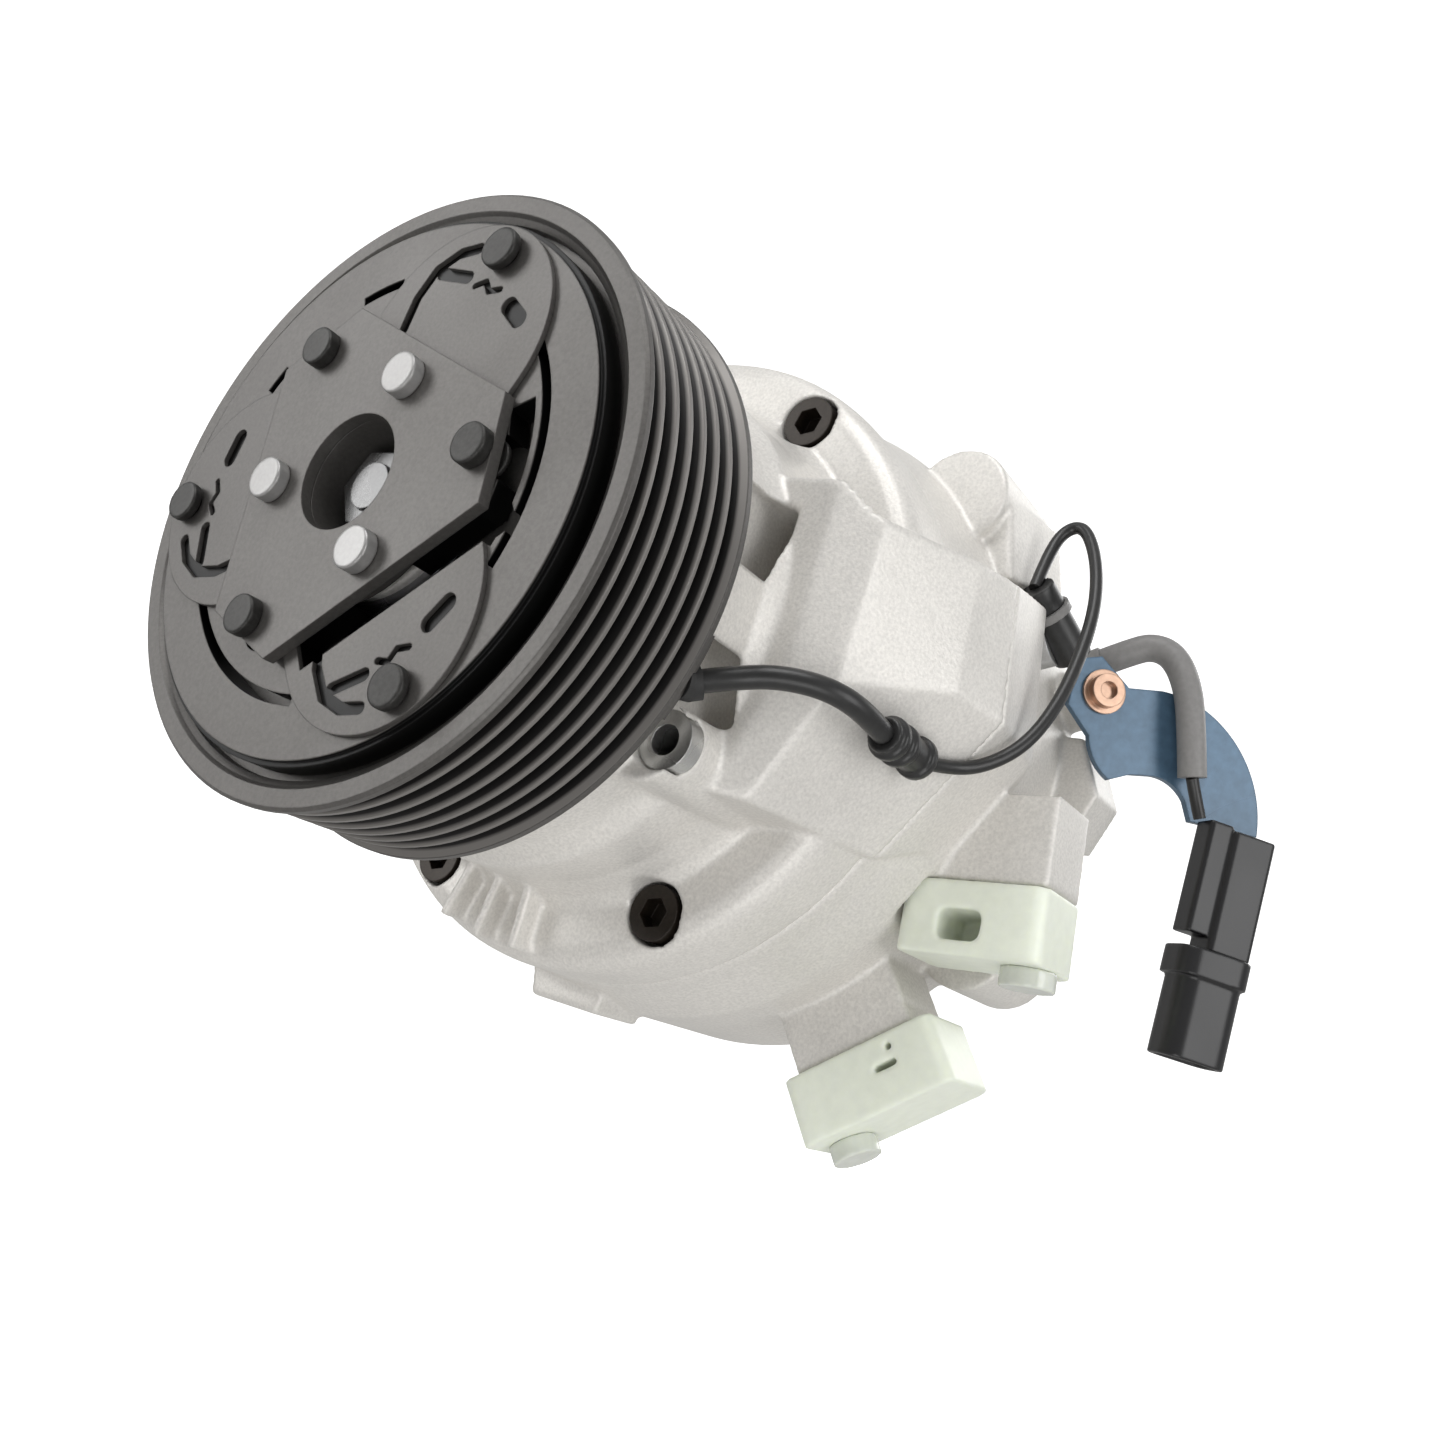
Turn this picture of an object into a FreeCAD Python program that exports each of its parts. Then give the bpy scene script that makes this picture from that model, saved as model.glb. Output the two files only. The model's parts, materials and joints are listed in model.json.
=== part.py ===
import FreeCAD, Part
import math
import os

# Car air-conditioning scroll compressor with an electromagnetic clutch.
# All sizes are in millimetres. The shaft lies along Y, the pulley faces -Y and +Z is up.
# Stations along the shaft (y) are counted from the front edge of the pulley rim.
# Every finished piece is then moved so that the row's origin is the middle of the
# belt's grooves on the shaft's axis.

os.makedirs("parts", exist_ok=True)
V = FreeCAD.Vector
AXIS = V(0, 1, 0)
SIXTH = 60.0
THIRD = 120.0
FULL = 360.0

# Pulley
PULLEY_R = 52.3
CREST_R = 51.4
GROOVE_ROOT_R = 48.9
GROOVE_PITCH = 3.56
GROOVE_COUNT = 7
FLANGE_WIDTH = 1.5
RIM_INNER_R = 47.4
ROTOR_FACE_Y = 2.9
ROTOR_DISC_END_Y = 7.5
ROTOR_WALL_INNER_R = 44.4
ROTOR_HUB_R = 29.6
BEARING_OUTER_R = 26.0
BEARING_INNER_R = 17.5
BEARING_Y = (6.2, 26.2)
PULLEY_BACK_Y = 2 * FLANGE_WIDTH + GROOVE_COUNT * GROOVE_PITCH
BELT_Y = PULLEY_BACK_Y / 2

# Clutch coil
COIL_R = (30.3, 43.7)
COIL_Y = (8.4, 29.4)
COIL_WALL = 2.2
COIL_PLATE_R = 45.6
COIL_PLATE_Y = (29.4, 31.2)

# Armature, springs and hub
ARMATURE_R = 46.1
ARMATURE_HOLE_R = 21.8
ARMATURE_Y = (-2.0, 2.4)
ARMATURE_GROOVE = 2.4
SPRING_Y = (-2.9, -2.05)
SPRING_HOLE_R = 21.4
PLATE_Y = (-5.0, -2.9)
PLATE_CORNER_R = 31.2
PLATE_CORNER_HALF = 16.3
PLATE_HOLE_R = 9.8
MID_RIVET_R = 27.0
MID_RIVET_DEG = 8.4
LOBE_DEG = 68.4
BRIGHT_RIVET_R = 16.7
HUB_WEB_Y = (6.4, 8.0)
WASHER_T = 1.2
NUT_FACE_Y = 0.4
OUTER_RIVET_R = 40.9
LOBE_HALF_WIDTH = 19.4
LOBE_CENTRE_R = 26.0

# Front housing
SEAM_Y = 80.0
BODY_R = 62.2
FLANGE_Y = 65.0
BOLT_CIRCLE_R = 54.8
BOLT_HEAD_R = 5.0
BOLT_SHANK_R = 3.0
HOUSING_BOLT_DEGS = (60.0, 120.0, 180.0, 240.0, 300.0)
BOLT_SEAT_Y = 71.0
COUNTERBORE_R = 5.6
BOLT_HOLE_R = 3.3
RIB_DEGS = (254.0, 263.0, 272.0)

# Rear housing
REAR_R = 65.4
REAR_END_Y = 142.0
REAR_CAVITY_R = 50.5
DISCHARGE_R = 47.0

# Pumping parts
ORBIT_R = 4.05
WRAP_T = 4.0
WRAP_PITCH = 16.4
WRAP_BASE_R = WRAP_PITCH / (2 * math.pi)
WRAP_START = 1.3 * math.pi
WRAP_END = 4.9 * math.pi
WRAP_STEP = math.pi / 12
ORBIT_PLATE_R = 46.0
ORBIT_PLATE_Y = (80.0, 85.5)
WRAP_FLOOR_Y = 111.0
WRAP_TIP_GAP = 0.15

# Lugs, bores and the round steel sleeve
UPPER_LUG = (46.0, 47.0)
UPPER_LUG_END_Y = 118.0
SPOTFACE_R = 8.5
LOWER_LUG = (58.5, -33.0)
LUG_R = 10.0
LUG_HOLE_R = 4.25
LUG_HOLE_DEPTH = 20.0
SLEEVE_AT = (40.6, -23.2)


def cyl(r, y0, y1, x=0.0, z=0.0):
    """A solid cylinder along the shaft's direction."""
    return Part.makeCylinder(r, y1 - y0, V(x, y0, z), AXIS)


def ring(ro, ri, y0, y1, x=0.0, z=0.0):
    """A round tube along the shaft's direction."""
    return cyl(ro, y0, y1, x, z).cut(cyl(ri, y0 - 1, y1 + 1, x, z))


def polar(r, deg):
    """The x and z of a point at a radius and an angle about the shaft."""
    a = math.radians(deg)
    return (r * math.cos(a), r * math.sin(a))


def rev(profile):
    """Turn a closed outline of (radius, y) points about the shaft."""
    pts = [V(r, y, 0) for r, y in profile]
    face = Part.Face(Part.makePolygon(pts + [pts[0]]))
    return face.revolve(V(0, 0, 0), AXIS, FULL)


def prism(outline, y0, y1):
    """A solid with an (x, z) outline between two stations."""
    pts = [V(x, y0, z) for x, z in outline]
    face = Part.Face(Part.makePolygon(pts + [pts[0]]))
    return face.extrude(V(0, y1 - y0, 0))


def loft(sections):
    """A ruled solid through (y, outline) sections."""
    wires = []
    for y, outline in sections:
        pts = [V(x, y, z) for x, z in outline]
        wires.append(Part.makePolygon(pts + [pts[0]]))
    return Part.makeLoft(wires, True, True)


def rod(p, q, r):
    """A round bar from point p to point q."""
    p = V(*p)
    q = V(*q)
    return Part.makeCylinder(r, (q - p).Length, p, q - p)


def turn(shape, deg):
    """A copy turned about the shaft, from X towards Z."""
    out = shape.copy()
    out.rotate(V(0, 0, 0), AXIS, -deg)
    return out


def sector(ro, ri, y0, y1, deg0, deg1):
    """Part of a ring between two angles."""
    span = deg1 - deg0
    outline = [V(ri, y0, 0), V(ro, y0, 0), V(ro, y1, 0), V(ri, y1, 0)]
    face = Part.Face(Part.makePolygon(outline + [outline[0]]))
    return turn(face.revolve(V(0, 0, 0), V(0, -1, 0), span), deg0)


def fuse(shapes):
    """One solid from overlapping shapes."""
    out = shapes[0]
    for s in shapes[1:]:
        out = out.fuse(s)
    return out.removeSplitter()


def hexagon(across, y0, y1, x=0.0, z=0.0, start=0.0):
    """A six-sided bar along the shaft's direction."""
    r = across / math.sqrt(3)
    outline = []
    for k in range(6):
        px, pz = polar(r, start + SIXTH * k)
        outline.append((x + px, z + pz))
    return prism(outline, y0, y1)


def local_box(origin, ex, ez, x0, x1, y0, y1, z0, z1):
    """A box on tilted axes: ex and ez are directions in the XZ plane."""
    origin = V(*origin)
    ex = V(ex[0], 0, ex[1]).normalize()
    ez = V(ez[0], 0, ez[1]).normalize()
    corners = [(x0, z0), (x1, z0), (x1, z1), (x0, z1)]
    pts = [origin + ex * a + ez * b + V(0, y0, 0) for a, b in corners]
    face = Part.Face(Part.makePolygon(pts + [pts[0]]))
    return face.extrude(V(0, y1 - y0, 0))


def tube(name, points, diameter):
    """A lead along straight runs joined by tangent arcs; prints its radii."""
    pts = [V(*p) for p in points]
    edges = []
    radii = []
    start = pts[0]
    length = 0.0
    for i in range(1, len(pts) - 1):
        a = (pts[i - 1] - pts[i])
        b = (pts[i + 1] - pts[i])
        run = min(a.Length, b.Length)
        a.normalize()
        b.normalize()
        half_turn = (math.pi - a.getAngle(b)) / 2
        cut = 0.45 * run
        radius = cut / math.tan(half_turn)
        radii.append(round(radius, 1))
        p = pts[i] + a * cut
        q = pts[i] + b * cut
        mid = pts[i] + (a + b).normalize() * (radius / math.cos(half_turn) - radius)
        edges.append(Part.LineSegment(start, p).toShape())
        edges.append(Part.Arc(p, mid, q).toShape())
        length += (p - start).Length + radius * 2 * half_turn
        start = q
    edges.append(Part.LineSegment(start, pts[-1]).toShape())
    length += (pts[-1] - start).Length
    path = Part.Wire(edges)
    first = pts[1] - pts[0]
    circle = Part.Wire(Part.makeCircle(diameter / 2, pts[0], first))
    solid = path.makePipeShell([circle], True, False)
    section = math.pi * diameter**2 / 4
    print(name, "radii", radii, "length", round(length, 1))
    print(name, "volume ratio", round(solid.Volume / (section * length), 3))
    return solid


def involute(t, phase, turned):
    """A point (x, z) of a scroll wrap's flank."""
    a = WRAP_BASE_R
    s = t - phase
    x = a * (math.cos(t) + s * math.sin(t))
    z = a * (math.sin(t) - s * math.cos(t))
    if turned:
        return (-x, -z)
    return (x, z)


def wrap(y0, y1, turned, dx=0.0):
    """One scroll wrap between two stations."""
    half = WRAP_T / (2 * WRAP_BASE_R)
    steps = int(round((WRAP_END - WRAP_START) / WRAP_STEP))
    outer = []
    inner = []
    for k in range(steps + 1):
        t = WRAP_START + k * WRAP_STEP
        x, z = involute(t, -half, turned)
        outer.append(V(x + dx, y0, z))
        x, z = involute(t, half, turned)
        inner.append(V(x + dx, y0, z))
    outside = Part.BSplineCurve()
    outside.interpolate(outer)
    inside = Part.BSplineCurve()
    inside.interpolate(inner)
    edges = [
        outside.toShape(),
        Part.LineSegment(outer[-1], inner[-1]).toShape(),
        inside.toShape(),
        Part.LineSegment(inner[0], outer[0]).toShape(),
    ]
    face = Part.Face(Part.Wire(Part.__sortEdges__(edges)))
    return face.extrude(V(0, y1 - y0, 0))


def save(name, shape):
    """Move a piece to the row's origin and write it."""
    out = shape.copy()
    out.translate(V(0, -BELT_Y, 0))
    out.exportStep("parts/" + name + ".step")
    solids = len(out.Solids)
    valid = out.isValid() and all(s.isClosed() for s in out.Solids)
    if not valid or solids == 0:
        print("CHECK", name, "valid", valid, "solids", solids)


def group(shapes):
    """Separate identical solids kept in one node."""
    return Part.makeCompound(shapes)


# ---------------------------------------------------------------- pulley
def make_pulley():
    back = PULLEY_BACK_Y
    profile = [(RIM_INNER_R, ROTOR_FACE_Y), (RIM_INNER_R, 1.2), (RIM_INNER_R + 1.0, 0.6)]
    profile += [(RIM_INNER_R + 1.6, 0.0), (PULLEY_R - 0.5, 0.0), (PULLEY_R, 0.5)]
    y = FLANGE_WIDTH
    profile.append((PULLEY_R, y))
    for k in range(GROOVE_COUNT):
        if k > 0:
            profile.append((CREST_R, y - 0.35))
            profile.append((CREST_R, y + 0.35))
        mid = y + GROOVE_PITCH / 2
        profile.append((GROOVE_ROOT_R, mid - 0.35))
        profile.append((GROOVE_ROOT_R, mid + 0.35))
        y += GROOVE_PITCH
    profile += [(PULLEY_R, y), (PULLEY_R, back - 0.4), (PULLEY_R - 0.4, back)]
    profile += [(ROTOR_WALL_INNER_R, back), (ROTOR_WALL_INNER_R, ROTOR_DISC_END_Y)]
    profile += [(ROTOR_HUB_R, ROTOR_DISC_END_Y), (ROTOR_HUB_R, BEARING_Y[1] + 0.8)]
    profile += [(BEARING_OUTER_R, BEARING_Y[1] + 0.8), (BEARING_OUTER_R, BEARING_Y[0])]
    profile += [(BEARING_OUTER_R - 2.0, BEARING_Y[0]), (BEARING_OUTER_R - 2.0, ROTOR_FACE_Y)]
    body = rev(profile)
    slots = []
    for k in range(6):
        a = SIXTH * k
        slots.append(sector(34.6, 32.8, ROTOR_FACE_Y - 1, ROTOR_DISC_END_Y + 1, a, a + 46))
        slots.append(sector(41.4, 39.6, ROTOR_FACE_Y - 1, ROTOR_DISC_END_Y + 1, a + 30, a + 78))
    return body.cut(group(slots))


save("pulley", make_pulley())

y0, y1 = BEARING_Y
race_mid_r = (BEARING_OUTER_R + BEARING_INNER_R) / 2
save("pulley_bearing_outer", ring(BEARING_OUTER_R, BEARING_OUTER_R - 2.6, y0, y1))
save("pulley_bearing_inner", ring(BEARING_INNER_R + 2.6, BEARING_INNER_R, y0, y1))
balls = []
for row_y in (y0 + 5.5, y1 - 5.5):
    for k in range(12):
        bx, bz = polar(race_mid_r, 30.0 * k)
        balls.append(Part.makeSphere(1.6, V(bx, row_y, bz)))
save("pulley_bearing_balls", group(balls))
save("pulley_snap_ring", ring(19.4, 15.9, 4.8, 6.0).cut(prism([(0, -2), (22, -3), (22, 3), (0, 2)], 3, 8)))

# ---------------------------------------------------------------- coil
coil_in, coil_out = COIL_R
cy0, cy1 = COIL_Y
shell = ring(coil_out, coil_in, cy0, cy1)
shell = shell.cut(ring(coil_out - COIL_WALL, coil_in + COIL_WALL, cy0 - 1, cy1 - 3.0))
shell = shell.fuse(ring(COIL_PLATE_R, 19.5, *COIL_PLATE_Y))
shell = shell.fuse(sector(49.6, 45.0, *COIL_PLATE_Y, -26.0, -9.0)).removeSplitter()
save("coil_housing", shell)
save("coil_winding", ring(coil_out - COIL_WALL, coil_in + COIL_WALL, cy0 + 1.5, cy1 - 3.0))
save("coil_potting", ring(coil_out - COIL_WALL, coil_in + COIL_WALL, cy0 + 0.2, cy0 + 1.5))


# ---------------------------------------------------------------- armature and hub
def lobe(y0, y1):
    """The round-ended tongue of the spring sheet, pointing along +X."""
    half = LOBE_HALF_WIDTH
    straight = prism([(0, -half), (LOBE_CENTRE_R, -half), (LOBE_CENTRE_R, half), (0, half)], y0, y1)
    return straight.fuse(cyl(LOBE_HALF_WIDTH, y0, y1, LOBE_CENTRE_R, 0))


def stroke(points, width, y0, y1):
    """A slot that follows (radius, angle) points, with round ends."""
    flat = [polar(r, a) for r, a in points]
    cuts = [cyl(width / 2, y0, y1, x, z) for x, z in flat]
    for (xa, za), (xb, zb) in zip(flat, flat[1:]):
        dx, dz = xb - xa, zb - za
        n = math.hypot(dx, dz)
        ox, oz = -dz / n * width / 2, dx / n * width / 2
        outline = [(xa + ox, za + oz), (xb + ox, zb + oz), (xb - ox, zb - oz), (xa - ox, za - oz)]
        cuts.append(prism(outline, y0, y1))
    return fuse(cuts)


def hub_outline():
    """The hub plate's corners: a triangle with its points cut off."""
    out = []
    for k in range(3):
        base = MID_RIVET_DEG + THIRD * k
        for side in (-1, 1):
            out.append(polar(PLATE_CORNER_R, base + side * PLATE_CORNER_HALF))
    return out


SLOT_TOP_Y = SPRING_Y[0] - 1
SLOT_END_Y = SPRING_Y[1] + 0.8
FORK = [(25.8, 27.0), (31.5, 25.0), (36.3, 21.0), (39.2, 15.0), (40.4, 9.5)]
FORK_BRANCH = [(35.6, 18.5), (35.4, 8.0)]
SHORT_SLOT = [(34.9, -13.0), (34.9, -19.5)]
WAVE_SLOT = [(34.4, 3.6), (35.7, 0.6), (34.6, -2.6), (35.8, -6.0)]
SLOT_WIDTHS = ((FORK, 2.0), (FORK_BRANCH, 2.2), (SHORT_SLOT, 3.0), (WAVE_SLOT, 1.1))


def spring_slots(side):
    """The fork-shaped and short slots in one tongue; side 1 or -1 mirrors them."""
    out = []
    for path, width in SLOT_WIDTHS:
        pts = [(r, side * a) for r, a in path]
        out.append(stroke(pts, width, SLOT_TOP_Y, SLOT_END_Y))
    return fuse(out)


def lobe_slots():
    """All three tongues' slots; the third tongue's are mirrored."""
    return [turn(spring_slots(side), LOBE_DEG + THIRD * k) for k, side in enumerate((1, 1, -1))]


sheet = fuse([turn(lobe(*SPRING_Y), LOBE_DEG + THIRD * k) for k in range(3)])
sheet = sheet.common(cyl(ARMATURE_R - 0.6, *SPRING_Y))
sheet = sheet.cut(cyl(SPRING_HOLE_R, SPRING_Y[0] - 1, SPRING_Y[1] + 1))
for slot_set in lobe_slots():
    sheet = sheet.cut(slot_set)
window = prism([(21.0, -16.6), (27.0, -16.6), (27.0, 25.0), (21.0, 25.0)], SLOT_TOP_Y, 8)
sheet = sheet.cut(turn(window, LOBE_DEG - THIRD))
rivet_holes = []
for k in range(3):
    x, z = polar(MID_RIVET_R, MID_RIVET_DEG + THIRD * k)
    rivet_holes.append(cyl(2.0, -9, 3, x, z))
outer_holes = []
for k in range(3):
    x, z = polar(OUTER_RIVET_R, LOBE_DEG + THIRD * k)
    outer_holes.append(cyl(2.6, -9, 3, x, z))
sheet = sheet.cut(group(rivet_holes)).cut(group(outer_holes))
save("spring_sheet", sheet)

armature = ring(ARMATURE_R, ARMATURE_HOLE_R, *ARMATURE_Y)
rim_step = ring(ARMATURE_R + 1, ARMATURE_R - 0.8, ARMATURE_Y[0] - 1, ARMATURE_Y[0] + 0.7)
armature = armature.cut(rim_step)
ay0 = ARMATURE_Y[0] - 1
ay1 = ARMATURE_Y[1] + 1
arc_slots = [
    sector(36.9, 35.3, ay0, ay1, 103.0, 117.0),
    sector(36.9, 35.3, ay0, ay1, 146.0, 154.0),
    sector(36.9, 35.1, ay0, ay1, 218.0, 275.0),
    sector(37.0, 35.3, ay0, ay1, -20.0, 40.0),
    sector(34.2, 29.5, ay0, ay1, -16.0, 24.0),
]
armature = armature.cut(group(arc_slots))
armature = armature.cut(turn(window, LOBE_DEG - THIRD))
for slot_set in lobe_slots():
    armature = armature.cut(slot_set.translated(V(0, ARMATURE_GROOVE, 0)))
mid_clear = []
for k in range(3):
    x, z = polar(MID_RIVET_R, MID_RIVET_DEG + THIRD * k)
    mid_clear.append(cyl(4.2, ay0, ay1, x, z))
armature = armature.cut(group(mid_clear))
outer_fit = []
for k in range(3):
    x, z = polar(OUTER_RIVET_R, LOBE_DEG + THIRD * k)
    outer_fit.append(cyl(2.0, ay0, ay1, x, z))
armature = armature.cut(group(outer_fit))
save("armature_disc", armature)

outer_rivets = []
for k in range(3):
    x, z = polar(OUTER_RIVET_R, LOBE_DEG + THIRD * k)
    shank = cyl(2.0, -3.4, 2.2, x, z)
    head = cyl(3.4, -5.0, -3.4, x, z)
    outer_rivets.append(shank.fuse(head).removeSplitter())
save("armature_rivets", group(outer_rivets))

plate = prism(hub_outline(), *PLATE_Y)
plate = plate.cut(cyl(PLATE_HOLE_R, PLATE_Y[0] - 1, PLATE_Y[1] + 1))
bright_holes = []
for k in range(3):
    x, z = polar(BRIGHT_RIVET_R, LOBE_DEG + THIRD * k)
    bright_holes.append(cyl(2.4, -9, 3, x, z))
plate = plate.cut(group(bright_holes)).cut(group(rivet_holes))
save("hub_plate", plate)

mid_rivets = []
for k in range(3):
    x, z = polar(MID_RIVET_R, MID_RIVET_DEG + THIRD * k)
    shank = cyl(2.0, PLATE_Y[0], -1.9, x, z)
    head = cyl(3.3, -7.2, PLATE_Y[0], x, z)
    tail = cyl(3.3, -2.05, -1.2, x, z)
    mid_rivets.append(shank.fuse(head).fuse(tail).removeSplitter())
save("spring_rivets", group(mid_rivets))

bright_rivets = []
for k in range(3):
    x, z = polar(BRIGHT_RIVET_R, LOBE_DEG + THIRD * k)
    shank = cyl(2.4, PLATE_Y[0], -0.4, x, z)
    head = cyl(3.5, -7.4, PLATE_Y[0], x, z)
    bright_rivets.append(shank.fuse(head).removeSplitter())
save("hub_rivets", group(bright_rivets))

web0, web1 = HUB_WEB_Y
boss = rev([
    (PLATE_HOLE_R, -2.9), (20.8, -2.9), (20.8, -0.4), (11.0, -0.4), (11.0, 13.0), (7.4, 13.0), (7.4, web1),
    (4.2, web1), (4.2, web0), (PLATE_HOLE_R, web0),
])
boss = boss.cut(group(bright_holes))
save("hub_boss", boss)
save("shaft_washer", ring(7.6, 4.2, web0 - WASHER_T, web0))
nut = hexagon(12.0, NUT_FACE_Y, web0 - WASHER_T).cut(cyl(4.0, NUT_FACE_Y - 1, web1))
save("shaft_nut", nut)

# ---------------------------------------------------------------- front housing
front_profile = [
    (17.5, 3.2), (17.5, 4.8), (15.9, 4.8), (15.9, 6.0), (17.5, 6.0), (17.5, 26.2), (19.5, 26.2), (19.5, 31.2),
    (44.0, 31.2), (45.6, 33.0), (45.6, 44.0), (48.2, 47.5), (48.2, 58.0), (49.6, 62.5), (51.5, FLANGE_Y),
    (58.2, FLANGE_Y), (60.6, FLANGE_Y + 0.9), (61.9, FLANGE_Y + 2.6), (BODY_R, FLANGE_Y + 5.0),
    (BODY_R, SEAM_Y), (REAR_CAVITY_R, SEAM_Y), (REAR_CAVITY_R, 72.0), (34.0, 72.0), (34.0, 63.0), (24.0, 63.0),
    (24.0, 50.0), (9.0, 50.0), (9.0, 38.0), (12.0, 38.0), (12.0, 26.0), (13.2, 26.0), (13.2, 14.5),
    (11.6, 13.5), (11.6, 3.2),
]
front = rev(front_profile)

block_sections = [
    (47.0, [(30, 28), (51.5, 28), (51.5, -5), (44, -28), (30, -29)]),
    (50.0, [(30, 28), (60, 21.5), (60, -6.5), (50, -28), (30, -29)]),
    (69.0, [(30, 31), (68.5, 23), (70.5, 0), (56, -28), (30, -30)]),
    (SEAM_Y, [(30, 33), (70.5, 24), (74.5, -1), (58, -28), (30, -31)]),
]
front = front.fuse(loft(block_sections))
front = front.fuse(cyl(7.6, 36.0, 66.0, SLEEVE_AT[0] - 3.0, SLEEVE_AT[1]))
front_slot = prism([(37.6, -19.0), (44.8, -17.5), (44.8, 21.0), (37.6, 22.5)], COIL_PLATE_Y[1] + 0.4, 60.0)
front = front.cut(front_slot)
for rib_deg in RIB_DEGS:
    rib = prism([(49.5, -0.8), (60.4, -0.8), (60.4, 0.8), (49.5, 0.8)], 60.0, FLANGE_Y + 1.0)
    front = front.fuse(turn(rib, rib_deg))
for deg in HOUSING_BOLT_DEGS:
    x, z = polar(BOLT_CIRCLE_R, deg)
    front = front.cut(cyl(COUNTERBORE_R, 60.0, BOLT_SEAT_Y, x, z))
    front = front.cut(cyl(BOLT_HOLE_R, 60.0, SEAM_Y + 1, x, z))
front = front.cut(cyl(REAR_CAVITY_R, 72.0, SEAM_Y + 1))
front = front.cut(cyl(34.0, 63.0, 73.0)).cut(cyl(24.0, 50.0, 64.0))
front = front.cut(cyl(3.6, 35.0, 62.0, *SLEEVE_AT)).cut(cyl(5.2, 35.0, 41.0, *SLEEVE_AT))
front = front.removeSplitter()

# ---------------------------------------------------------------- rear housing
rear_profile = [
    (REAR_CAVITY_R, SEAM_Y), (BODY_R, SEAM_Y), (BODY_R + 0.6, 86.0), (REAR_R, 97.0), (REAR_R, 132.0),
    (REAR_R - 2.5, 138.0), (REAR_R - 8.0, REAR_END_Y), (0, REAR_END_Y), (0, 134.0), (DISCHARGE_R, 134.0),
    (DISCHARGE_R, 118.0), (REAR_CAVITY_R, 118.0),
]
rear = rev(rear_profile)
rear_block = loft([
    (SEAM_Y, [(30, 33), (70.5, 24), (74.5, -1), (58, -28), (30, -31)]),
    (100.0, [(30, 36), (67.0, 28), (72.0, -2), (62, -20), (30, -25)]),
    (112.0, [(30, 36), (60.0, 30), (66.0, 0), (58, -20), (30, -25)]),
])
rear = rear.fuse(rear_block)
ulx, ulz = UPPER_LUG
rear = rear.fuse(cyl(LUG_R, 93.0, UPPER_LUG_END_Y, ulx, ulz))
web = loft([
    (96.0, [(36, 40), (50, 55), (56, 48), (60, 32), (44, 30)]),
    (116.0, [(36, 40), (50, 55), (58, 50), (63, 34), (44, 30)]),
])
rear = rear.fuse(web)
llx, llz = LOWER_LUG
rear = rear.fuse(cyl(LUG_R, 120.0, REAR_END_Y, llx, llz))
rear = rear.fuse(prism([(36, -20), (62, -20), (68, -36), (54, -42), (34, -40)], 122.0, 138.0))
rear = rear.fuse(prism([(-18, -55), (5, -55), (3, -67.5), (-14, -67.5)], 88.0, 102.0))
ear = prism([(50, 11), (69, 12), (74.5, 1), (71, -9), (50, -9)], 127.0, 140.0)
rear = rear.fuse(ear)

# Port blocks: one faces down, one faces down and out
PORT_A = (69.6, 106.0, -23.4)
PORT_A_OUT = (0.12, -1.0)
PORT_A_ALONG = (1.0, 0.12)
PORT_B = (46.2, 114.0, -57.4)
PORT_B_OUT = (0.62, -0.78)
PORT_B_ALONG = (0.78, 0.62)
PORT_HOLE_R = 6.2
block_a = local_box((PORT_A[0], 0, PORT_A[2]), PORT_A_ALONG, PORT_A_OUT, -13, 11.5, 99, 115, -15, 1.5)
rear = rear.fuse(block_a)
block_b = local_box((PORT_B[0], 0, PORT_B[2]), PORT_B_ALONG, PORT_B_OUT, -11, 14, 106, 122, -16, 3.5)
rear = rear.fuse(block_b)
cavity = fuse([cyl(REAR_CAVITY_R, SEAM_Y - 1, 118.0), cyl(DISCHARGE_R, 117.0, 134.0)])
rear = rear.cut(cavity)


def port_axis_point(port, out, along, shift, depth):
    """A point on a port's axis, at a depth below the port face."""
    ex = V(along[0], 0, along[1]).normalize()
    eo = V(out[0], 0, out[1]).normalize()
    p = V(*port) + ex * shift + eo * depth
    return (p.x, p.y, p.z)


def port_cut(port, out, along, shift, face, depth, r):
    p = port_axis_point(port, out, along, shift, face + 2)
    q = port_axis_point(port, out, along, shift, face - depth)
    return rod(p, q, r)


FACE_A = 1.5
FACE_B = 3.5
HOLE_A = -5.2
STUD_A = 7.4
HOLE_B = 6.0
STUD_B = -8.0
rear = rear.cut(port_cut(PORT_A, PORT_A_OUT, PORT_A_ALONG, HOLE_A, FACE_A, 11.0, PORT_HOLE_R))
rear = rear.cut(port_cut(PORT_A, PORT_A_OUT, PORT_A_ALONG, STUD_A, FACE_A, 9.0, 3.0))
rear = rear.cut(port_cut(PORT_B, PORT_B_OUT, PORT_B_ALONG, HOLE_B, FACE_B, 11.0, PORT_HOLE_R))
rear = rear.cut(port_cut(PORT_B, PORT_B_OUT, PORT_B_ALONG, STUD_B, FACE_B, 9.0, 3.0))

rear = rear.cut(cyl(SPOTFACE_R, UPPER_LUG_END_Y, REAR_END_Y + 1, ulx, ulz))
rear = rear.cut(cyl(LUG_HOLE_R, UPPER_LUG_END_Y - LUG_HOLE_DEPTH, UPPER_LUG_END_Y + 1, ulx, ulz))
rear = rear.cut(rod((llx, 150.0, llz), (llx, REAR_END_Y - LUG_HOLE_DEPTH, llz), LUG_HOLE_R))
for deg in HOUSING_BOLT_DEGS:
    x, z = polar(BOLT_CIRCLE_R, deg)
    rear = rear.cut(cyl(BOLT_SHANK_R, SEAM_Y - 1, 98.0, x, z))

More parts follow.
